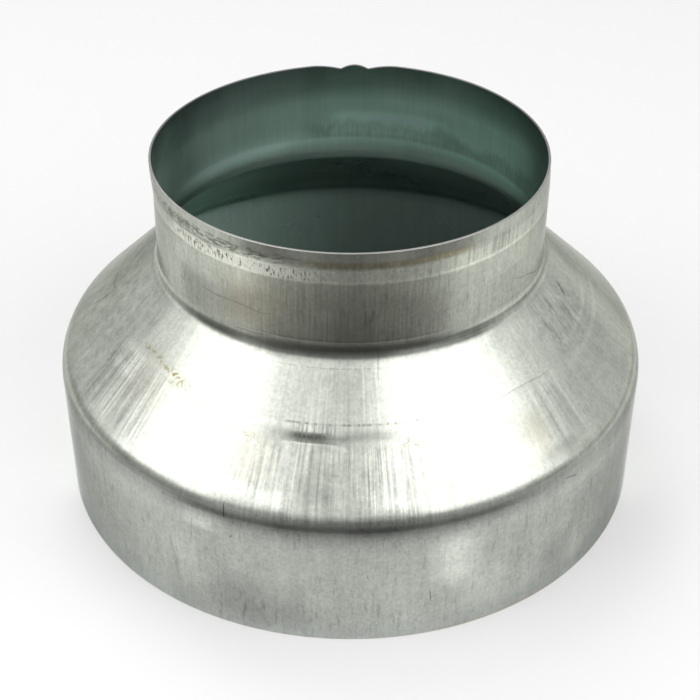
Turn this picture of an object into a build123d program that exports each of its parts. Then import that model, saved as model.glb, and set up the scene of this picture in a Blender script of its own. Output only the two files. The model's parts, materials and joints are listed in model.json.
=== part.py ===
"""Duct reducer pressed from one galvanised steel sheet.

A wide collar slides over one duct, a cone takes the diameter down by about a third, and a narrow
collar slips into the next duct. The part stands on its wide collar: Z is the duct's axis, and the
foot is at Z 0.
"""
import os

from build123d import *

# Sheet and collars, in millimetres
sheet = 0.6
wide_bore = 151.4
narrow_outside = 98.2

# Heights along the axis, each up to the sharp corner that a bend rounds off
wide_collar = 37.8
cone_rise = 26.5
narrow_collar = 27.4

# Bends, on the outer face of the sheet
shoulder_radius = 9.4
neck_radius = 6.0

# Rolled rim of the narrow collar: a plain band above one that opens out a little
rim_band = 3.9
flare_band = 4.4
rim_flare = 0.2

# Ear in the trimmed edge at the back, between two shallow notches
ear_width = 7.4
ear_drop = 0.1
notch_depth = 1.2
notch_reach = 11.0
notch_bow = 0.2

# Radii and heights that follow
wide_radius = wide_bore / 2 + sheet
narrow_radius = narrow_outside / 2
rim_radius = narrow_radius + rim_flare
neck_height = wide_collar + cone_rise
rim_height = neck_height + narrow_collar
band_height = rim_height - rim_band
flare_height = band_height - flare_band

# The shell is the sheet's outer face as one open line, thickened inwards and turned about the axis
with BuildPart() as reducer_shell:
    with BuildSketch(Plane.XZ):
        with BuildLine():
            foot = (wide_radius, 0)
            shoulder = (wide_radius, wide_collar)
            neck = (narrow_radius, neck_height)
            flare = (narrow_radius, flare_height)
            band = (rim_radius, band_height)
            rim = (rim_radius, rim_height)
            bends = [shoulder_radius, neck_radius, 0, 0]
            outer_face = FilletPolyline(foot, shoulder, neck, flare, band, rim, radius=bends)
            offset(outer_face, amount=sheet, side=Side.LEFT, kind=Kind.INTERSECTION)
        make_face()
    revolve(axis=Axis.Z)

    # The notches are cut through the back wall alone, and leave the ear standing between them
    with BuildSketch(Plane.XZ):
        with BuildLine():
            left_end = (-notch_reach, rim_height)
            left_notch = (-ear_width / 2, rim_height - notch_depth)
            crown = (0, rim_height - ear_drop)
            right_notch = (ear_width / 2, rim_height - notch_depth)
            right_end = (notch_reach, rim_height)
            SagittaArc(left_end, left_notch, notch_bow)
            ThreePointArc(left_notch, crown, right_notch)
            SagittaArc(right_notch, right_end, notch_bow)
            above_right = (notch_reach, rim_height + notch_depth)
            above_left = (-notch_reach, rim_height + notch_depth)
            Polyline(right_end, above_right, above_left, left_end)
        make_face()
    extrude(amount=-wide_radius, mode=Mode.SUBTRACT)

reducer_shell.part.label = "reducer_shell"
os.makedirs("parts", exist_ok=True)
export_step(reducer_shell.part, "parts/reducer_shell.step")
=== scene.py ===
# %% [markdown]
# # A duct reducer in galvanised sheet
# This lesson dresses a duct reducer: a wide collar, a cone and a narrow collar, pressed from one steel
# sheet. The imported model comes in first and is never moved. Its box and its mounts give the main sizes,
# so the dressed sheet lands exactly where the plain one is.

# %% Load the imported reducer
import json
import math

import bmesh
import bpy
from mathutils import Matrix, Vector


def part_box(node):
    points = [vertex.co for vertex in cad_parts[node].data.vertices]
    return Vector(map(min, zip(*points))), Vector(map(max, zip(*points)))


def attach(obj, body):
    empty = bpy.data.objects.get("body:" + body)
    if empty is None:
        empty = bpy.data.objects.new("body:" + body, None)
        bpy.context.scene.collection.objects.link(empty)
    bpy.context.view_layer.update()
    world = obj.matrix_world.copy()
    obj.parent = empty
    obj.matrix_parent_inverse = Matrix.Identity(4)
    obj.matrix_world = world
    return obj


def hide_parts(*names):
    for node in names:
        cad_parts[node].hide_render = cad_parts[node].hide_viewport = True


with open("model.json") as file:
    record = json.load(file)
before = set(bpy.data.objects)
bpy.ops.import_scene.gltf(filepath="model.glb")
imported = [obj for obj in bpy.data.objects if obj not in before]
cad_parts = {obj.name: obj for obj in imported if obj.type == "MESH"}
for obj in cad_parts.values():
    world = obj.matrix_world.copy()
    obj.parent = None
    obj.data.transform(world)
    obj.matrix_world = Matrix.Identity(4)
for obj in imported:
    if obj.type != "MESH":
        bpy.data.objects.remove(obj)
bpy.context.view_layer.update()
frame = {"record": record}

# %% [markdown]
# ## Sizes
# A reducer is known by its two collars, so the record states them as mounts: a pin is the outside of a
# collar and a bore is its inside. Reading them here is better than typing the numbers again, because the
# piece then follows the record. Only the two bends and the bands of the rim need values of their own.

# %% Read the collars from the mounts
MM = 0.001
mounts = {mount["name"]: mount for mount in frame["record"]["mounts"]}


def radius_of(name):
    return mounts[name]["dims"]["r_mm"] * MM


def straight_wall(name):
    """The lowest and the highest level of a collar's straight wall."""
    half = mounts[name]["dims"]["length_mm"] * MM / 2
    middle = mounts[name]["pos_m"][2]
    return middle - half, middle + half


wide_radius = radius_of("wide_spigot")
narrow_radius = radius_of("narrow_spigot")
sheet = wide_radius - radius_of("wide_socket")
wide_top = straight_wall("wide_spigot")[1]
narrow_low, narrow_high = straight_wall("narrow_spigot")
rim_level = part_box("reducer_shell")[1].z
print("Radii in mm:", round(wide_radius / MM, 2), "and", round(narrow_radius / MM, 2))
print("Sheet in mm:", round(sheet / MM, 2))

# %% [markdown]
# ## The section
# The press turns the sheet twice: outwards over a rounded shoulder and back again at a tight neck. In a
# section these are two arcs, and the cone is the straight line that touches both. Working the line out
# from the arcs keeps the bends smooth, which matters on metal: any kink would show in the reflections.

# %% Find the cone between the two bends
shoulder_bend = 9.4 * MM
neck_bend = 6.0 * MM
shoulder_centre = Vector((wide_radius - shoulder_bend, wide_top))
neck_centre = Vector((narrow_radius + neck_bend, narrow_low))
span = neck_centre - shoulder_centre
cone_lean = math.atan2(span.y, span.x) - math.acos((shoulder_bend + neck_bend) / span.length)
cone_face = Vector((math.cos(cone_lean), math.sin(cone_lean)))
cone_foot = shoulder_centre + cone_face * shoulder_bend
cone_head = neck_centre - cone_face * neck_bend
print("The cone's face leans", round(math.degrees(cone_lean), 1), "degrees up")

# %% [markdown]
# A mesh only shows what its rows of points can follow. Fine lines run round this reducer: a tool mark above
# the neck, a draw ring on the cone, and the two edges of the rim's lower band. So the rows are even
# elsewhere, and stand close together beside each of those lines.

# %% Draw the section, from the foot to the rim
rim_band = 3.9 * MM
rim_flare = 0.2 * MM
band_level = rim_level - rim_band
neck_line = narrow_low + 0.9 * MM
draw_ring = 53.0 * MM
step_top = 51.7 * MM
step_foot = 49.9 * MM
close_rows = [-0.5, -0.3, -0.15, 0.0, 0.15, 0.3, 0.5]
least_gap = 0.06 * MM


def rows(low, high, spacing, lines=()):
    """Levels from low to high, evenly spaced, with close rows beside each line."""
    count = max(1, round((high - low) / spacing))
    made = [low + (high - low) * i / count for i in range(count + 1)]
    for line in lines:
        made += [line + offset * MM for offset in close_rows]
    kept = []
    for level in sorted(made):
        if low <= level <= high and (not kept or level - kept[-1] > least_gap):
            kept.append(level)
    return kept


def arc(centre, bend, first, last, steps):
    """Points of a bend, from one lean of its face to another, with the lean at each."""
    leans = [first + (last - first) * i / steps for i in range(1, steps)]
    return [(centre.x + bend * math.cos(t), centre.y + bend * math.sin(t), t) for t in leans]


section = [(wide_radius, level, 0.0) for level in rows(0.0, wide_top, spacing=1.7 * MM)]
section += arc(shoulder_centre, shoulder_bend, 0.0, cone_lean, steps=13)
step_rows = [step_foot + (step_top - step_foot) * i / 3 for i in range(4)]
for level in rows(cone_foot.y, cone_head.y, spacing=0.9 * MM, lines=[draw_ring] + step_rows):
    share = (level - cone_foot.y) / (cone_head.y - cone_foot.y)
    section.append((cone_foot.x + (cone_head.x - cone_foot.x) * share, level, cone_lean))
section += [(2 * neck_centre.x - r, 2 * neck_centre.y - z, t)
            for r, z, t in arc(neck_centre, neck_bend, cone_lean, 0.0, steps=11)]
collar_rows = rows(narrow_low, narrow_high, spacing=1.6 * MM, lines=[neck_line])
section += [(narrow_radius, level, 0.0) for level in collar_rows]
for level in rows(narrow_high, rim_level, spacing=1.0 * MM, lines=[narrow_high, band_level])[1:]:
    opened = min(1.0, (level - narrow_high) / (band_level - narrow_high))
    section.append((narrow_radius + rim_flare * opened, level, 0.0))
print("Rows in the section:", len(section))

# %% [markdown]
# ## What pressing and handling did to it
# A drawn sheet is never a perfect solid of turning. This one has a step pressed into the front of its cone,
# a faint ring where the first draw ended, a rim that is bent a little and an ear left in the trimmed edge at
# the back. They could be sculpted, but short formulas do it in the same way each time. Each gives how far
# the sheet moves inwards, or how far its edge drops. Angles are in degrees, counted from the front of the
# photograph, which is turned a little from the ear's line.

# %% Say how the sheet departs from its section
view_turn = 1.6
ring_depth = 0.035 * MM
tool_depth = 0.035 * MM
band_depth = 0.015 * MM
step_depth = 1.2 * MM
step_angle = -8.6
step_half_width = 5.2
dish_depth = 0.1 * MM
step_end = 39.0 * MM
ear_half = 3.7 * MM
ear_lowered = 0.1 * MM
notch_depth = 1.2 * MM
notch_reach = 11.0 * MM
notch_bow = 0.2 * MM


def bell(distance, width, flatness=2):
    return math.exp(-(abs(distance / width) ** flatness))


def ease(value):
    """Rises smoothly from 0 to 1."""
    value = min(1.0, max(0.0, value))
    return value * value * (3 - 2 * value)


def pressed_in(angle, level):
    """How far the sheet is pushed in, at an angle seen from the front and a level."""
    ring = ring_depth * bell(level - draw_ring, 0.45 * MM)
    tool = tool_depth * bell(level - neck_line, 0.3 * MM) * bell(angle, 42.0)
    edge = band_depth * (bell(level - band_level, 0.25 * MM) - bell(level - narrow_high, 0.3 * MM))
    dish = dish_depth * bell(angle + 1.0, 12.0)
    depth = step_depth * bell(angle - step_angle, step_half_width, flatness=4) + dish
    fall = min(1.0, max(0.0, (step_top - level) / (step_top - step_foot)))
    recovered = ease((level - step_end) / (step_foot - step_end))
    return ring + tool + edge + depth * fall ** 1.3 * recovered


def ear_drop(x):
    """How far the trimmed edge at the back lies under the rim, beside and on the ear."""
    if abs(x) < ear_half:
        return ear_lowered + (notch_depth - ear_lowered) * (x / ear_half) ** 2
    if abs(x) < notch_reach:
        share = (abs(x) - ear_half) / (notch_reach - ear_half)
        return notch_depth * (1 - share) - 4 * notch_bow * share * (1 - share)
    return 0.0


print("Step in the cone:", round(pressed_in(step_angle, step_foot) / MM, 2), "mm deep")

# %% [markdown]
# ## One sheet
# The outer face goes round first, as a grid of rows and angles, with finer angles at the back where the ear
# is. A Solidify modifier then gives the sheet its thickness. It copies every small dent to the inside, as
# pressing does, and hands the inside and the cut edge materials of their own. A small Bevel takes the
# sharpness off the cut edges, so that they catch a line of light. The narrow collar leans a little to the
# right. Its rim is bent back to the left, except at the front, and sags at the back left.

# %% Build the outer face and give it thickness
fine_back = [-180 + 0.5 * i for i in range(30)]
coarse = [-165 + 1.25 * i for i in range(265)]
angles = fine_back + coarse + [165.5 + 0.5 * i for i in range(29)]
collar_lean = 0.2 * MM
collar_squeeze = 0.1 * MM
rim_bend = 0.45 * MM
rim_sag = 0.28 * MM


def placed(angle, radius, level, lean):
    """A point of the outer face, with the sheet's departures in it."""
    inwards = pressed_in(angle - view_turn, level)
    turn = math.radians(angle)
    tall = ease((level - narrow_low) / (rim_level - narrow_low))
    rolled = ease((level - narrow_high) / (rim_level - narrow_high))
    radius -= inwards * math.cos(lean) + collar_squeeze * tall * math.sin(turn) ** 2
    height = level - inwards * math.sin(lean)
    sideways = radius * math.sin(turn)
    x = sideways + collar_lean * tall - rim_bend * rolled * ease(0.9 - math.cos(turn))
    y = -radius * math.cos(turn)
    if y > 0:
        height += rim_sag * rolled * math.cos(turn) * max(0.0, 1 - 1.5 * math.sin(turn))
        height -= ear_drop(sideways) * max(0.0, (level - band_level) / rim_band)
    return x, y, height


grid = bmesh.new()
columns = [[grid.verts.new(placed(angle, *point)) for point in section] for angle in angles]
for left, right in zip(columns, columns[1:] + columns[:1]):
    for i in range(len(section) - 1):
        grid.faces.new((left[i], right[i], right[i + 1], left[i + 1])).smooth = True
shell_mesh = bpy.data.meshes.new("reducer_sheet")
grid.to_mesh(shell_mesh)
grid.free()
shell = bpy.data.objects.new("reducer_sheet", shell_mesh)
bpy.context.scene.collection.objects.link(shell)
thickness = shell.modifiers.new("sheet thickness", "SOLIDIFY")
thickness.thickness = sheet
thickness.offset = -1
thickness.use_even_offset = True
thickness.material_offset = 1
thickness.material_offset_rim = 2
edges = shell.modifiers.new("worn cut edges", "BEVEL")
edges.width = 0.12 * MM
edges.segments = 2
edges.limit_method = "ANGLE"
edges.angle_limit = math.radians(60)
edges.harden_normals = True
edges.material = 2
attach(shell, "root")
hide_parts("reducer_shell")
print("Faces of the outer side:", len(shell_mesh.polygons))

# %% [markdown]
# ## Numbers that travel between nodes
# A procedural finish is mostly sums: this noise times that mask, plus another. Wired by hand such sums fill
# a screen with Math nodes. The small class below makes a node each time two values are added or multiplied,
# so a finish can be written as plain arithmetic and still is an ordinary node tree.

# %% Helpers that add shader nodes
def node(tree, kind, inputs=None, **settings):
    """Adds a node. Inputs are values or other nodes' outputs, by name or number."""
    made = tree.nodes.new("ShaderNode" + kind)
    for name, value in settings.items():
        setattr(made, name, value)
    for key, value in (inputs or {}).items():
        if isinstance(value, Signal):
            value = value.socket
        if isinstance(value, bpy.types.NodeSocket):
            tree.links.new(value, made.inputs[key])
        else:
            made.inputs[key].default_value = value
    return made


class Signal:
    """A number that a node gives. It adds, subtracts, multiplies and divides like a plain one."""

    def __init__(self, tree, socket):
        self.tree = tree
        self.socket = socket

    def maths(self, operation, first, second=0.0):
        made = node(self.tree, "Math", {0: first, 1: second}, operation=operation)
        return Signal(self.tree, made.outputs[0])

    def __add__(self, other):
        return self.maths("ADD", self, other)

    def __mul__(self, other):
        return self.maths("MULTIPLY", self, other)

    def __sub__(self, other):
        return self.maths("SUBTRACT", self, other)

    def __rsub__(self, other):
        return self.maths("SUBTRACT", other, self)

    def __truediv__(self, other):
        return self.maths("DIVIDE", self, other)

    __radd__ = __add__
    __rmul__ = __mul__

    def size(self):
        return self.maths("ABSOLUTE", self)

    def or_more(self, other):
        return self.maths("MAXIMUM", self, other)

    def ramp(self, low, high, bottom=0.0, top=1.0):
        """Goes smoothly from bottom to top as the number goes from low to high. Needs no clamp."""
        limits = {"Value": self, "From Min": low, "From Max": high, "To Min": bottom, "To Max": top}
        made = node(self.tree, "MapRange", limits, interpolation_type="SMOOTHSTEP", clamp=False)
        return Signal(self.tree, made.outputs["Result"])


def blend(tree, share, first, second):
    """Mixes two colours. A share of 0 gives the first."""
    return node(tree, "Mix", {0: share, 6: first, 7: second}, data_type="RGBA").outputs[2]


def scaled(tree, colour, factor):
    return node(tree, "VectorMath", {0: colour, "Scale": factor}, operation="SCALE").outputs[0]


def new_material(name):
    """An empty material with one Principled shader."""
    made = bpy.data.materials.new(name)
    made.use_nodes = True
    made.node_tree.nodes.clear()
    surface = node(made.node_tree, "BsdfPrincipled")
    node(made.node_tree, "OutputMaterial", {"Surface": surface.outputs[0]})
    return made, made.node_tree, surface


print("Helpers:", [helper.__name__ for helper in (node, Signal, blend, scaled, new_material)])

# %% [markdown]
# ## Coordinates that follow the drawing
# The sheet was drawn along the duct's axis, so its marks run along the collars and down the cone. A texture
# knows no such direction, but every point has an angle and a level. Noise that is close in angle and long in
# level gives those marks and has no seam at the back, which an unwrapped picture would have.

# %% Where a point of the sheet is
class Places:
    """The angle from the front in degrees, the level in mm, and noises and patches that use them."""

    def __init__(self, tree):
        self.tree = tree
        self.point = node(tree, "TexCoord").outputs["Object"]
        x, y, z = [Signal(tree, part) for part in node(tree, "SeparateXYZ", {0: self.point}).outputs]
        self.level = z / MM
        turn = x.maths("ARCTAN2", x, y * -1.0)
        self.angle = turn.maths("DEGREES", turn) - view_turn
        flat = node(tree, "CombineXYZ", {0: x, 1: y}).outputs[0]
        self.outwards = node(tree, "VectorMath", {0: flat}, operation="NORMALIZE").outputs[0]
        length = node(tree, "VectorMath", {0: flat}, operation="LENGTH").outputs["Value"]
        self.reach = Signal(tree, length) / MM

    def noise(self, scale, detail=3.0, rough=0.55, vector=None):
        """Even noise, with this many grains to the metre."""
        spread = {"Vector": vector or self.point, "Scale": scale, "Detail": detail, "Roughness": rough}
        return Signal(self.tree, node(self.tree, "TexNoise", spread).outputs["Fac"])

    def drawn(self, close, length, detail=3.0, rough=0.55):
        """Noise with grains that are close round the axis and this long, in mm, along it."""
        along = node(self.tree, "CombineXYZ", {2: self.level / length}).outputs[0]
        spread = {0: self.outwards, 1: (close, close, close), 2: along}
        vector = node(self.tree, "VectorMath", spread, operation="MULTIPLY_ADD").outputs[0]
        return self.noise(1.0, detail, rough, vector)

    def patch(self, angles, levels, fade, level_fade):
        """A soft patch between two angles, in degrees, and two levels, in mm."""
        first, last = angles
        low, high = levels
        across = self.angle.ramp(first - fade, first + fade) * self.angle.ramp(last + fade, last - fade)
        upwards = self.level.ramp(low - level_fade, low + level_fade)
        return across * upwards * self.level.ramp(high + level_fade, high - level_fade)

    def patches(self, places):
        """Soft patches added up. Each has a weight, two angles, two levels, and how it fades in both."""
        total = 0.0
        for weight, angles, levels, fade, level_fade in places:
            total = weight * self.patch(angles, levels, fade, level_fade) + total
        return total

    def tones(self, stops):
        """A colour that changes with the level. Stops are (level in mm, colour)."""
        band = node(self.tree, "ValToRGB", {"Fac": self.level / (rim_level / MM)})
        marks = band.color_ramp.elements
        while len(marks) < len(stops):
            marks.new(1.0)
        for mark, (height, tone) in zip(marks, stops):
            mark.position = height * MM / rim_level
            mark.color = tone
        return band.outputs["Color"]


print("Marks run from level 0 to", round(rim_level / MM, 1), "mm and from -180 to 180 degrees")

# %% [markdown]
# ## Zinc outside: tone and grain
# The zinc is a soft grey, a little warm on the narrow collar and cooler on the wide one. The cone has the
# lightest tone, partly a painted highlight: it lets the lamps' sheets of light on it reach white. A dark line
# of dirt and painted shade runs in the bend of the neck, a band of painted shade along the shoulder stands in
# for the dark that the shoulder mirrors, and a painted highlight lines the lower edge of the rim's lower
# band. On top lie the grains that every such sheet has: fine and bold draw marks, clouds of dull oxide, a
# fine crystal speckle and short ticks. Each is mild, because the lamps give the metal most of its contrast.

# %% Tone and grains of the outside
def zinc(brightness, blue=0.9):
    return 0.96 * brightness, brightness, blue * brightness, 1.0


outside, tree, surface = new_material("outside_zinc")
at = Places(tree)
# Level stops: 34 to 36.2 is painted shade along the shoulder, 63.3 to 66.4 is dirt and painted shade in the
# neck bend, 83.7 is a painted highlight line, and the light stops of the cone are partly a painted highlight.
tone = at.tones([(0, zinc(0.49, 0.95)), (24, zinc(0.53, 0.95)), (30, zinc(0.6, 0.95)),
                 (34, zinc(0.49, 0.95)), (36.2, zinc(0.42, 0.95)), (38.3, zinc(0.68)),
                 (62.4, zinc(0.7)), (63.3, zinc(0.57)), (64.2, zinc(0.31, 0.9)), (65.4, zinc(0.27, 0.9)),
                 (66.4, zinc(0.42, 0.9)), (68, zinc(0.51, 0.9)), (76, zinc(0.5, 0.9)),
                 (83.3, zinc(0.55, 0.9)), (83.7, zinc(0.9, 0.9)), (84.4, zinc(0.72, 0.9)),
                 (87.1, zinc(0.66, 0.9)), (87.7, zinc(0.56, 0.9))])
fine = at.drawn(78.0, 26.0, 3.0, 0.65)
bold = at.drawn(30.0, 22.0, 3.0, 0.6)
ticks = at.drawn(70.0, 4.5, 2.0, 0.6)
clouds = at.noise(55.0, 5.0, 0.62)
mottle = at.noise(330.0, 3.0, 0.65)
speckle = at.noise(1100.0, 2.0, 0.6)
print("Nodes of the outside, with its grains:", len(tree.nodes))

# %% [markdown]
# ## Zinc outside: where the press scored it
# Below the ring on the cone the sheet slid over the die, and long scores run down to the shoulder: many at
# the front and a bundle at either side. Farther round, the sheet was rubbed against others and is covered in
# short ticks, with a block of chatter marks on the right. Soft patches, each given by two angles and two
# levels, say where.

# %% Scored and rubbed places
front_scores = at.patches([(1.0, (-20, 14), (36.0, 49.3), 6.0, 1.2),
                           (0.4, (-14, 11), (51.0, 62.0), 5.0, 2.0),
                           (0.5, (-15, -1), (50.6, 53.4), 3.0, 0.8)])
side_scores = at.patches([(1.0, (-64, -43), (41.0, 52.8), 4.0, 1.0),
                          (0.6, (42, 57), (42.0, 51.0), 4.0, 2.0)])
collar_scores = at.patch((-34, 22), (67.0, 83.0), 8.0, 1.5)
scored = front_scores + side_scores
rubbed = at.patches([(1.0, (-125, -60), (43.0, 62.0), 9.0, 3.0), (1.0, (56, 80), (52.5, 61.0), 4.0, 1.0)])
chatter = at.patch((56, 74), (53.6, 62.6), 4.0, 1.2) * ticks.ramp(0.5, 0.62)
print("Nodes of the outside, with its scores:", len(tree.nodes))

# %% [markdown]
# ## Zinc outside: the rim's bands
# Rolling the rim cracked the zinc. On the lower band it stands in bright flakes, left of the front, and on
# the upper band it is rubbed into dark lines along the rim. Right of the front the upper band is stained by
# old oil, which ends in short cross marks of the roller.

# %% Flakes, lines, oil and roller marks of the rim
flake_grain = at.drawn(92.0, 1.8, 3.0, 0.75)
flaked = at.patch((-56, -10), (83.9, 86.5), 7.0, 0.4)
flakes = flaked * flake_grain.ramp(0.45, 0.53)
gaps = flaked * flake_grain.ramp(0.47, 0.39)
line_grain = at.drawn(22.0, 0.6, 3.0, 0.7)
rim_lines = at.patch((-72, -16), (87.4, 89.8), 10.0, 0.6) * line_grain.ramp(0.55, 0.42)
band_edge = at.patch((-74, -34), (86.9, 87.5), 8.0, 0.3) * line_grain.ramp(0.6, 0.4, 0.4, 1.0)
oil = at.patch((-12, 33), (87.6, 89.2), 7.0, 0.6) * flake_grain.ramp(0.3, 0.6, 0.3, 1.0)
roller_marks = at.patch((29, 62), (84.3, 88.8), 5.0, 0.7) * fine.ramp(0.5, 0.42)
print("Nodes of the outside, with its rim:", len(tree.nodes))

# %% [markdown]
# ## Zinc outside: scratches
# A few single scratches are bold enough to be known by their place. A scratch is a short line on the unrolled
# sheet, and its mask is how near a point lies to that line. One node group does the sum, and each scratch is
# a copy of it with two ends and a width. Geometry would need a far finer mesh for the same hair lines.

# %% A node group for one scratch
def scratch_group():
    group = bpy.data.node_groups.new("scratch", "ShaderNodeTree")
    for name in ("Place", "Start", "Run"):
        group.interface.new_socket(name, in_out="INPUT", socket_type="NodeSocketVector")
    group.interface.new_socket("Width", in_out="INPUT", socket_type="NodeSocketFloat")
    group.interface.new_socket("Mask", in_out="OUTPUT", socket_type="NodeSocketFloat")
    place, start, run, width = group.nodes.new("NodeGroupInput").outputs[:4]

    def vectors(operation, first, second):
        return node(group, "VectorMath", {0: first, 1: second}, operation=operation).outputs

    gone = vectors("SUBTRACT", place, start)["Vector"]
    along = Signal(group, vectors("DOT_PRODUCT", gone, run)["Value"])
    length = Signal(group, vectors("DOT_PRODUCT", run, run)["Value"])
    share = Signal(group, node(group, "Clamp", {0: along / length}).outputs[0])
    apart = Signal(group, vectors("DISTANCE", gone, scaled(group, run, share))["Value"])
    taper = (share - 0.5).size().ramp(0.5, 0.2, 0.4, 1.0)
    mask = (apart / (taper * Signal(group, width))).ramp(1.0, 0.2)
    group.links.new(mask.socket, group.nodes.new("NodeGroupOutput").inputs["Mask"])
    return group


scratch = scratch_group()
print("Nodes in the scratch group:", len(scratch.nodes))


# %% Where the scratches are
def radius_at(level):
    """The outer radius of the sheet at a level, both in mm."""
    return min(section, key=lambda point: abs(point[1] / MM - level))[0] / MM


def scratches(at, lines):
    """All the scratches in one mask. Each has two ends, as angle and level, a width in mm and a depth."""
    around = at.angle * math.radians(1.0) * at.reach
    waver = (at.noise(140.0, 1.0) - 0.5) * 1.6
    place = node(at.tree, "CombineXYZ", {0: around + waver, 1: at.level + waver}).outputs[0]
    mask = 0.0
    for first_angle, first_level, last_angle, last_level, width, depth in lines:
        start = Vector((math.radians(first_angle) * radius_at(first_level), first_level, 0))
        end = Vector((math.radians(last_angle) * radius_at(last_level), last_level, 0))
        made = node(at.tree, "Group", node_tree=scratch)
        at.tree.links.new(place, made.inputs["Place"])
        made.inputs["Start"].default_value = start
        made.inputs["Run"].default_value = end - start
        made.inputs["Width"].default_value = width
        mask = (Signal(at.tree, made.outputs[0]) * depth).or_more(mask)
    return mask


narrow_collar_scratches = [
    (-45.0, 74.0, -22.0, 73.1, 0.26, 0.4), (50.8, 73.5, 74.0, 66.0, 0.24, 0.35),
    (-33.0, 66.9, -21.6, 67.3, 0.2, 0.4), (-54.8, 72.7, -53.8, 72.1, 0.3, 0.5),
    (7.2, 66.2, 6.8, 60.2, 0.22, 0.35)]
cone_scratches = [
    (76.0, 60.2, 75.2, 57.7, 0.45, 0.7), (31.0, 52.9, 53.0, 52.4, 0.14, 0.22),
    (-107.0, 56.8, -97.0, 51.7, 0.45, 0.3), (-97.0, 51.7, -86.0, 52.7, 0.4, 0.28),
    (-86.0, 52.7, -88.8, 46.3, 0.4, 0.28)]
wide_collar_scratches = [
    (-22.4, 38.2, -22.6, 33.6, 0.28, 0.65), (42.0, 33.6, 45.2, 32.8, 0.26, 0.5),
    (-28.8, 34.0, -29.6, 22.0, 0.22, 0.28), (-21.2, 29.0, -21.6, 27.9, 0.3, 0.55),
    (-48.0, 24.7, -48.8, 18.5, 0.26, 0.26), (-34.4, 21.3, -33.2, 9.8, 0.9, 0.16),
    (14.0, 14.2, 14.3, 10.2, 0.26, 0.5), (2.8, 20.8, 2.9, 19.2, 0.24, 0.35),
    (36.4, 24.0, 36.1, 22.4, 0.34, 0.35), (34.4, 20.2, 34.7, 17.8, 0.34, 0.3)]
scratch_lines = narrow_collar_scratches + cone_scratches + wide_collar_scratches
handling = scratches(at, scratch_lines)
print("Scratches:", len(scratch_lines), "nodes of the outside:", len(tree.nodes))

# %% [markdown]
# ## Zinc outside: specks and smudges
# The ring on the cone is dotted at the front, and a few olive specks of old oil lie beside it. The specks are
# fine grains of noise, let through in a few small patches, so no two have the same outline.

# %% Dots and specks
dot_rows = at.patches([(1.0, (-15, 15), (52.8, 53.1), 2.0, 0.2), (0.5, (-20, 11), (61.9, 62.1), 3.0, 0.15)])
dots = ticks.ramp(0.48, 0.58, 0.25, 1.0) * dot_rows
speck_places = [(-41.6, 53.4, 3.4, 1.0), (-30.8, 53.3, 0.8, 0.4), (-22.0, 52.3, 0.6, 0.5),
                (-23.5, 49.6, 4.5, 0.3), (11.6, 49.8, 1.5, 0.8), (14.6, 49.2, 1.2, 0.6),
                (-54.0, 54.9, 4.0, 0.5), (-46.5, 54.3, 3.5, 0.6)]
spots = []
for middle, level, half_angle, half_level in speck_places:
    spots.append((1.0, (middle - half_angle, middle + half_angle), (level - half_level, level + half_level),
                  1.2, 0.6))
specks = at.patches(spots) * speckle.ramp(0.48, 0.6)
print("Specks:", len(speck_places))

# %% [markdown]
# Broad smudges make the sheet uneven. Some pale ones are places that were wiped or worn clean, and two soft
# rings left by the press. Many are painted light instead: the pale sides of the neck, of its bend and of the
# narrow collar, and the pale strip along the outline of the wide collar stand in for light that these lamps
# do not give, and pale patches on the cone are painted highlights that widen and soften the lamps' sheets of
# light. The masks are added up, and the sum brightens the zinc.

# %% Pale smudges
# Painted light: the strip along the wide collar's outline, and the pale sides of the neck, of its bend and of
# the collar's foot.
edge_on = at.angle.size().ramp(66.0, 76.0) * at.level.ramp(38.0, 34.0)
neck_side_painted_light = (at.angle + 6.0).size().ramp(34.0, 50.0) * at.angle.ramp(-20.0, 20.0, 2.4, 3.6)
neck_side_painted_light = neck_side_painted_light * at.level.ramp(64.4, 65.8) * at.level.ramp(68.0, 65.4)
bend_side_painted_light = (at.angle + 5.0).size().ramp(40.0, 57.0) * at.angle.ramp(0.0, 30.0, 8.0, 4.0)
bend_side_painted_light = bend_side_painted_light * at.level.ramp(62.8, 64.4) * at.level.ramp(66.2, 64.9)
collar_foot_painted_light = at.angle.size().ramp(54.0, 66.0) * at.level.ramp(66.3, 67.2) * at.level.ramp(68.9, 67.9)
wide_collar_pale = [(1.0, (-34, -29), (15.0, 28.0), 4.0, 6.0), (2.4, (15, 22), (16.0, 30.0), 3.0, 4.0),
                    (1.0, (21, 29), (8.0, 17.0), 4.0, 5.0), (1.9, (-30.5, -23.5), (28.5, 34.2), 2.5, 1.2)]
# Painted highlights: pale patches that widen the lamps' sheets of light on the front of the cone, towards the
# middle and down to the shoulder.
cone_front_painted_highlights = [(1.0, (-16, -10), (41.0, 48.0), 3.0, 3.0), (1.0, (-15, -3), (48.9, 49.5), 3.0, 0.35),
                   (2.2, (-23, -11.5), (38.6, 41.5), 2.0, 1.0), (0.5, (-20, -11), (42.0, 49.0), 2.0, 2.0),
                   (1.5, (-14.5, -11), (43.0, 48.0), 1.5, 2.0), (1.5, (4, 10), (38.5, 41.0), 2.0, 1.0),
                   (0.8, (3.5, 7), (42.0, 47.0), 1.5, 2.0)]
# Painted light: a lighter outer edge of the left sheet of light, and a lighter left side of the cone.
cone_side_painted_light = [(1.5, (-64, -55), (48.5, 53.4), 3.0, 1.0), (0.5, (-95, -64), (41.0, 50.0), 6.0, 3.0),
                  (0.5, (-88, -60), (54.0, 62.0), 6.0, 3.0)]
press_rings = [(0.7, (64, 95), (53.3, 54.1), 6.0, 0.5), (0.7, (58, 95), (50.2, 51.0), 5.0, 0.5)]
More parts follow.
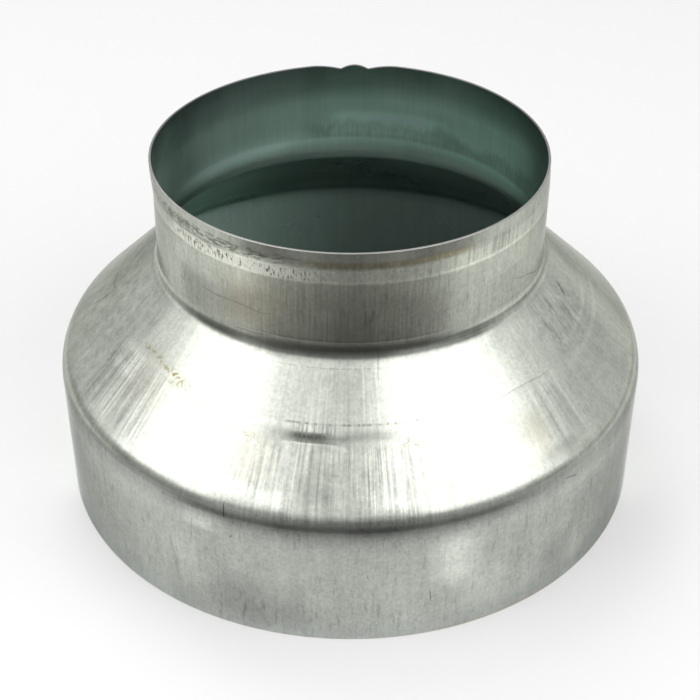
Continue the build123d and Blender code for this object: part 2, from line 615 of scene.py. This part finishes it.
# Pale patches; those on either side of the narrow collar are painted light, for the brighter floor they
# mirror there.
narrow_collar_pale_and_painted_light = [(0.7, (-76, -52), (67.5, 82.0), 5.0, 2.0), (0.7, (52, 82), (67.5, 82.0), 5.0, 2.0),
                      (0.7, (-56, -40), (77.0, 83.0), 4.0, 1.5), (0.7, (40, 56), (77.0, 83.0), 4.0, 1.5),
                      (1.0, (-33, -24), (79.0, 83.0), 3.0, 2.5)]
rim_pale = [(1.0, (-36, 20), (84.0, 87.2), 6.0, 0.4), (1.4, (-31, -17), (83.8, 87.2), 4.0, 0.4)]
pale_and_painted_light_places = wide_collar_pale + cone_front_painted_highlights + cone_side_painted_light + press_rings
pale_and_painted_light_places = pale_and_painted_light_places + narrow_collar_pale_and_painted_light + rim_pale
pale = at.patches(pale_and_painted_light_places) + neck_side_painted_light + bend_side_painted_light + 2.4 * collar_foot_painted_light + 3.8 * edge_on
print("Pale smudges:", len(pale_and_painted_light_places))

# %% [markdown]
# The dull smudges darken the zinc. In the bend of the neck they are dirt and painted shade. Along the
# shoulder, on the rim's bands and on the front and right side of the narrow collar they are painted shade,
# for dark things the metal would mirror there. On the cone they are dull patches and painted shade: the dark
# tail of the step and trims at the edges of the lamps' sheets of light. Other dull places are patches of
# thicker oxide.

# %% Dull smudges
wide_collar_dull = [(1.0, (37, 44), (6.0, 16.0), 4.0, 4.0), (0.9, (-25, -8), (3.0, 16.0), 4.0, 4.0),
                    (0.35, (-36, 4), (1.0, 10.0), 6.0, 3.0)]
# Painted shade along the shoulder, for the dark it mirrors.
shoulder_painted_shade = [(1.0, (-58, -26), (35.2, 36.9), 6.0, 0.4), (0.6, (26, 48), (35.2, 36.9), 6.0, 0.4),
                 (0.8, (-47, -32), (36.4, 38.6), 4.0, 0.6)]
# Dull patches and painted shade: the dark tail of the step, and trims at the edges of the lamps' sheets of
# light.
cone_dull_and_shade = [(1.3, (-7, -2.6), (44.0, 49.6), 1.5, 0.8), (0.6, (-6.5, -2.6), (48.0, 49.8), 1.5, 0.5),
             (1.0, (-10, -2), (39.5, 43.5), 2.0, 1.5), (1.4, (-4, -0.5), (49.4, 51.0), 1.2, 0.6),
             (1.3, (-3, 9), (50.4, 51.9), 3.0, 0.6), (0.5, (35, 43), (44.0, 49.0), 3.0, 2.0),
             (0.9, (37, 48), (38.5, 41.5), 3.0, 1.0), (0.7, (40, 57), (39.0, 49.0), 5.0, 3.0)]
# Dirt and painted shade in the bend of the neck; the patch at the front is painted shade.
neck_dirt_and_shade = [(2.2, (-46, 44), (63.7, 64.9), 8.0, 0.4), (1.4, (28, 46), (63.2, 64.0), 6.0, 0.3),
             (2.5, (-26, 26), (64.9, 66.6), 7.0, 0.5)]
# Dull patches; the one at the front and the one at the right are painted shade, for the dark the collar
# mirrors there.
narrow_collar_dull_and_shade = [(0.6, (-14, 14), (66.0, 81.0), 9.0, 3.0), (1.1, (-55, -32), (66.0, 76.0), 6.0, 4.0),
                      (0.6, (12, 27), (68.0, 80.0), 5.0, 3.0), (0.8, (-36, -26), (70.0, 79.0), 4.0, 3.0),
                      (1.0, (68, 100), (78.0, 86.5), 6.0, 2.0)]
# Painted shade on the rim's bands, for the dark they mirror at the front, the sides and the left.
rim_painted_shade = [(1.0, (-34, 38), (88.6, 92.5), 8.0, 0.6), (1.3, (-100, -76), (84.0, 92.5), 4.0, 1.0),
            (1.2, (-30, -16), (88.4, 92.5), 5.0, 0.6), (1.2, (16, 33), (88.6, 92.5), 5.0, 0.6)]
dull_and_shaded_places = wide_collar_dull + shoulder_painted_shade + cone_dull_and_shade + neck_dirt_and_shade + narrow_collar_dull_and_shade + rim_painted_shade
dull = at.patches(dull_and_shaded_places)
print("Dull smudges:", len(dull_and_shaded_places))

# %% [markdown]
# The step in the cone has a crease along its top, painted dark as dirt and painted shade, with a fainter
# painted shadow beside it on the left; hair lines run above it. Fine dark lines run through the scores below
# it, and also over the lower part of the wide collar and up the narrow one. Warm tints are thin rust and old
# grease.

# %% Crease, fine lines and warm tints
# Painted dark: dirt and painted shade in the crease of the step, and a fainter painted shadow left of it.
crease = at.patches([(1.0, (-12.5, -4.0), (50.0, 51.5), 2.0, 0.6),
                     (0.4, (-18, -12), (50.2, 51.8), 3.0, 0.7)])
crease_dirt_and_shade = crease * fine.ramp(0.3, 0.55, 0.45, 1.0)
hairs = at.patch((-14, -2), (50.8, 52.4), 3.0, 1.1) * fine.ramp(0.5, 0.42)
score_grain = at.drawn(84.0, 9.0, 3.0, 0.65)
score_places = [(1.0, (-24, 12), (41.0, 49.0), 4.0, 1.5), (1.1, (-30, 12), (1.0, 12.0), 6.0, 3.0),
                (1.0, (-28, 26), (67.5, 82.0), 6.0, 2.0)]
score_lines = at.patches(score_places) * score_grain.ramp(0.43, 0.36)
warm = at.patches([(1.0, (-36, -19), (68.0, 82.0), 5.0, 4.0), (0.7, (-25, -15), (43.0, 50.5), 4.0, 2.0),
                   (1.0, (14, 42), (-1.0, 0.9), 9.0, 0.9), (1.1, (37, 42), (41.0, 48.0), 3.0, 2.5),
                   (0.4, (-20, 16), (66.0, 84.0), 8.0, 2.0), (0.4, (-58, -42), (46.0, 56.0), 4.0, 2.0)])
print("Nodes of the outside, with all its masks:", len(tree.nodes))

# %% [markdown]
# ## Zinc outside: all together
# Every mark acts in one of three ways. Most change the brightness of the base colour, stains also tint it,
# and scores bend the reflections through a bump whose height is in millimetres. The roughness follows the
# clouds, because dull oxide scatters more.

# %% Join the marks of the outside
grain = 1.0 + 0.6 * (clouds - 0.5) + 0.5 * (speckle - 0.5)
grain = grain + (mottle - 0.5) * (0.25 + 0.6 * rubbed + 0.3 * front_scores)
grain = grain + (fine - 0.5) * (0.25 + 1.0 * scored + 0.5 * collar_scores)
grain = grain + (bold - 0.5) * (0.25 + 1.1 * side_scores)
collars = 1.0 - at.level.ramp(34.0, 38.0) * at.level.ramp(68.0, 64.0)
short = ticks.ramp(0.58, 0.7) * (0.17 * collars) + ticks.ramp(0.56, 0.66) * (0.14 * rubbed)
# The pale and dull sums hold painted light and painted shade as well as wear and dirt.
grain = grain * (1.0 - short) * (1.0 + 0.22 * pale - 0.24 * dull)
dark = handling.or_more(0.6 * rim_lines).or_more(0.75 * gaps).or_more(0.5 * band_edge)
dark = dark.or_more(0.3 * roller_marks).or_more(0.55 * dots).or_more(0.16 * chatter)
dark = dark.or_more(0.62 * crease_dirt_and_shade).or_more(0.42 * hairs).or_more(0.22 * score_lines)
colour = scaled(tree, tone, grain * (1.0 - dark))
colour = blend(tree, 0.9 * flakes, colour, (0.97, 0.97, 0.9, 1))
colour = blend(tree, 0.25 * warm, colour, (0.5, 0.42, 0.28, 1))
colour = blend(tree, 0.85 * oil, colour, (0.27, 0.23, 0.13, 1))
colour = blend(tree, 0.7 * specks, colour, (0.28, 0.25, 0.09, 1))
tree.links.new(colour, surface.inputs["Base Color"])
surface.inputs["Metallic"].default_value = 1.0
surface.inputs["Specular Tint"].default_value = (0.56, 0.57, 0.56, 1)
roughness = clouds.ramp(0.3, 0.7, 0.18, 0.26) + 0.12 * flakes
tree.links.new(roughness.socket, surface.inputs["Roughness"])
height = fine * (0.008 + 0.045 * front_scores + 0.014 * collar_scores) + bold * (0.06 * side_scores)
height = height + ticks * (0.002 + 0.003 * rubbed) + mottle * (0.007 * rubbed)
bump = node(tree, "Bump", {"Strength": 1.0, "Distance": MM, "Height": height})
tree.links.new(bump.outputs[0], surface.inputs["Normal"])
print("Nodes of the outside:", len(tree.nodes))

# %% [markdown]
# ## Zinc inside
# The inside kept a thin film of drawing oil, so it is a cool green. Light reaches it only after several
# reflections, and each adds to the tint, which is why a mild colour looks so deep there. Its brightness is
# painted by level and angle, as painted shade and painted light: dark on the cone, towards the rim and at the
# back of the wide collar, bright on the narrow collar. On the narrow collar a painted shadow lies at the back
# left, with painted light in a strip along the back and at its lower left, and painted light brightens the
# back left of the cone. The narrow collar is brushed into smears at its lower end. The left is a little more
# matt.

# %% Make the inside
def filmed(brightness):
    return 0.78 * brightness, brightness, 0.905 * brightness, 1.0


inside, tree, surface = new_material("inside_zinc")
at = Places(tree)
# The level stops paint the light inside: painted shade on the cone and towards the rim, painted light on the
# narrow collar.
tone = at.tones([(0, filmed(0.72)), (36, filmed(0.7)), (46, filmed(0.33)), (65, filmed(0.33)),
                 (69, filmed(0.88)), (81, filmed(0.8)), (86, filmed(0.43)), (91, filmed(0.26))])
film_side = at.angle.maths("COSINE", (at.angle - 150.0) * math.radians(1.0))
# Painted shade at the back of the wide collar, and painted light on the back left of the cone.
wide_back_painted_shade = film_side.ramp(0.35, 0.95) * at.level.ramp(46.0, 36.0)
left_cone_painted_light = at.patch((-152, -95), (42.0, 63.0), 14.0, 3.0)
streaks = at.drawn(48.0, 22.0, 3.0, 0.6)
clouds = at.noise(45.0, 4.0, 0.6)
brushed = at.drawn(44.0, 9.0, 4.0, 0.7)
smear_top = at.level + 8.0 * (brushed - 0.5) + 9.0 * (at.drawn(5.0, 60.0, 1.0) - 0.5)
smears = film_side.ramp(0.64, 0.8) * smear_top.ramp(75.5, 72.5) * at.level.ramp(69.2, 70.4)
smears = smears * brushed.ramp(0.3, 0.6, 0.5, 1.0)
# Painted shadow at the back left of the narrow collar, painted light in a strip along its back and at its
# lower left.
back_left_painted_shade = at.patch((-172, -112), (71.0, 96.0), 7.0, 3.0) * at.level.ramp(78.0, 86.0, 0.22, 0.4)
back_strip_painted_light = at.patches([(0.32, (150, 200), (70.5, 77.5), 8.0, 1.5),
                          (0.32, (-200, -174), (70.5, 77.5), 4.0, 1.5)])
lower_left_painted_light = 0.3 * at.patch((-158, -118), (66.0, 70.0), 8.0, 1.0)
grain = 1.0 + 0.4 * (clouds - 0.5) + 0.22 * (streaks - 0.5)
grain = grain * (1.0 - back_left_painted_shade) * (1.0 + back_strip_painted_light) * (1.0 + lower_left_painted_light)
grain = grain * (1.0 - 0.32 * smears) * (1.0 - 0.72 * wide_back_painted_shade) * (1.0 + 0.9 * left_cone_painted_light)
tree.links.new(scaled(tree, tone, grain), surface.inputs["Base Color"])
surface.inputs["Metallic"].default_value = 1.0
surface.inputs["Specular Tint"].default_value = (0.5, 0.58, 0.55, 1)
matt_side = at.angle.maths("COSINE", (at.angle + 112.0) * math.radians(1.0)).ramp(0.3, 0.95)
roughness = clouds.ramp(0.3, 0.7, 0.26, 0.34) + at.level.ramp(64.0, 68.0) * (0.02 + 0.13 * matt_side)
tree.links.new(roughness.socket, surface.inputs["Roughness"])
bump = node(tree, "Bump", {"Strength": 1.0, "Distance": MM, "Height": 0.006 * streaks})
tree.links.new(bump.outputs[0], surface.inputs["Normal"])
print("Nodes of the inside:", len(tree.nodes))

# %% [markdown]
# ## The cut edge
# Where the sheet was trimmed, bare steel shows in a line as wide as the sheet is thick. The line is painted
# darker round the back, as painted shade for the dark that the back of its rounding mirrors.

# %% Make the cut edge and hand out the materials
cut_edge, tree, surface = new_material("cut_edge")
at = Places(tree)
grain = at.noise(900.0, 3.0, 0.6)
steel = blend(tree, grain, (0.42, 0.42, 0.4, 1), (0.62, 0.62, 0.59, 1))
# Painted shade: the cut edge is half as bright at the back.
back_painted_shade_share = at.angle.size().ramp(60.0, 115.0, 1.0, 0.5)
tree.links.new(scaled(tree, steel, back_painted_shade_share), surface.inputs["Base Color"])
surface.inputs["Metallic"].default_value = 1.0
tree.links.new(grain.ramp(0.3, 0.7, 0.28, 0.42).socket, surface.inputs["Roughness"])
for material in (outside, inside, cut_edge):
    shell_mesh.materials.append(material)
print("Materials:", [material.name for material in shell_mesh.materials])

# %% [markdown]
# ## Floor
# A plain pale sheet of paper, large enough to fill the photograph's view. Views from lower down see past its
# far edge, to a grey room.

# %% Lay the floor
def stage_piece(name, points, faces, material):
    mesh = bpy.data.meshes.new(name)
    mesh.from_pydata(points, [], faces)
    mesh.materials.append(material)
    made = bpy.data.objects.new(name, mesh)
    bpy.context.scene.collection.objects.link(made)
    return made


paper, _, surface = new_material("pale_paper")
surface.inputs["Base Color"].default_value = (0.97, 0.97, 0.97, 1)
surface.inputs["Roughness"].default_value = 0.9
surface.inputs["Specular IOR Level"].default_value = 0.0
floor_half = 4.0
corners = [(floor_half * x, floor_half * y, 0) for x, y in ((-1, -1), (1, -1), (1, 1), (-1, 1))]
stage_piece("floor", corners, [(0, 1, 2, 3)], paper)
print("Floor:", 2 * floor_half, "m square")

# %% [markdown]
# ## A dark cloth in front
# Polished metal shows the room. In the photograph the front of the narrow collar and the shoulder mirror
# something dark before the reducer, while the wide collar mirrors the pale paper at its foot. A photographer
# does this with a black cloth just outside the picture. Here it is a curved strip that only reflections see,
# so it hides nothing from the camera. It fades out sideways, and from there on, nearly all round, it stands
# in for the paper: pale near the foot and greyer farther out.

# %% Lay the dark cloth
def around(angle, distance, height):
    """A point at an angle from the front, a distance from the axis and a height."""
    turn = math.radians(angle + view_turn)
    return distance * math.sin(turn), -distance * math.cos(turn), height


cloth = bpy.data.materials.new("dark_cloth")
cloth.use_nodes = True
tree = cloth.node_tree
tree.nodes.clear()
at = Places(tree)
aside = at.angle.size()
dark = aside.ramp(62.0, 36.0) * at.reach.ramp(105.0, 114.5) * at.level.ramp(45.0, 15.0)
shade = aside.ramp(0.0, 50.0, 0.115, 0.27) * at.reach.ramp(135.0, 185.0, 0.8, 2.2)
near = aside.ramp(95.0, 130.0, 0.85, 1.0).or_more(at.angle.ramp(-84.0, -100.0))
right_end = at.angle.ramp(40.0, 60.0) * at.reach.ramp(320.0, 500.0, 0.0, 0.3)
outer = aside.ramp(105.0, 135.0, 0.35, 0.58) + right_end
far = at.reach.ramp(145.0, 170.0).or_more(near) * (1.0 - at.reach.ramp(185.0, 240.0) * (1.0 - outer))
strength = dark * shade + (1.0 - dark) * far
glow = node(tree, "Emission", {"Color": (1, 1, 0.96, 1), "Strength": strength})
node(tree, "OutputMaterial", {"Surface": glow.outputs[0]})
strip_angles = [-165 + 5 * i for i in range(67)]
strip = [(0.080, 0.0005), (0.6, 0.0005), (0.66, 0.05)]
points = [around(angle, *point) for angle in strip_angles for point in strip]
across = len(strip)
corner = [across * i + j for i in range(len(strip_angles) - 1) for j in range(across - 1)]
faces = [(first, first + across, first + across + 1, first + 1) for first in corner]
dark_cloth = stage_piece("dark_cloth", points, faces, cloth)
dark_cloth.visible_camera = False
dark_cloth.visible_diffuse = False
dark_cloth.visible_shadow = False
print("Cloth faces:", len(faces))

# %% [markdown]
# ## Lamps
# Softboxes stand left and right of the camera and make the two white sheets of light on the cone. Behind
# each a larger, weaker panel softens its edge. A weak panel over the camera fills the middle, and another
# behind lights the inside through the rim. A lamp's power spreads over its area, so the brightness that metal
# mirrors is the power over area and pi.

# %% Hang the lamps
aim = Vector((0, 0, rim_level / 2))


def softbox(name, angle, rise, distance, width, height, brightness):
    """A rectangular lamp that faces the reducer and is this bright in a mirror."""
    lamp = bpy.data.lights.new(name, "AREA")
    lamp.shape = "RECTANGLE"
    lamp.size = width
    lamp.size_y = height
    lamp.energy = brightness * math.pi * width * height
    made = bpy.data.objects.new(name, lamp)
    lift = math.radians(rise)
    x, y, _ = around(angle, distance * math.cos(lift), 0)
    made.location = aim + Vector((x, y, distance * math.sin(lift)))
    made.rotation_euler = (aim - made.location).to_track_quat("-Z", "Y").to_euler()
    made.visible_camera = False
    bpy.context.scene.collection.objects.link(made)
    print(name, "power", round(lamp.energy, 2), "W")


softbox("left inner softbox", -55, 27, 0.95, 0.27, 1.15, 0.9)
softbox("left outer softbox", -76.5, 33, 0.95, 0.45, 0.95, 0.9)
softbox("left panel", -66, 36, 0.95, 1.75, 1.05, 0.31)
softbox("right inner softbox", 41.5, 26, 0.95, 0.63, 1.2, 0.97)
softbox("right outer softbox", 70, 31, 0.95, 0.38, 1.08, 0.9)
softbox("right panel", 61, 33, 0.95, 1.65, 0.9, 0.2)
softbox("front fill", -5, 43, 0.95, 0.89, 1.2, 0.18)
softbox("ceiling panel", -155, 57, 1.2, 0.6, 0.5, 2.2)
world = bpy.data.worlds.new("studio")
world.use_nodes = True
world.node_tree.nodes["Background"].inputs["Color"].default_value = (0.56, 0.56, 0.56, 1)
bpy.context.scene.world = world
bpy.context.scene.view_settings.view_transform = "Standard"

# %% [markdown]
# ## Camera
# The photograph's rim, foot and outline fix the camera: how far it is, how high and how long its lens. It is
# turned a little to the right of the ear at the back.

# %% Place the camera
lens = bpy.data.cameras.new("photo_camera")
lens.lens = 76.0
lens.sensor_width = 36.0
lens.clip_start = 0.01
camera = bpy.data.objects.new("photo_camera", lens)
camera_rise = math.radians(35.55)
camera_distance = 0.3984
look_at = Vector((-0.00012, 0, 0.03069))
x, y, _ = around(0, camera_distance * math.cos(camera_rise), 0)
camera.location = look_at + Vector((x, y, camera_distance * math.sin(camera_rise)))
camera.rotation_euler = (look_at - camera.location).to_track_quat("-Z", "Y").to_euler()
bpy.context.scene.collection.objects.link(camera)
bpy.context.scene.camera = camera
print("Camera at", [round(value, 3) for value in camera.location])
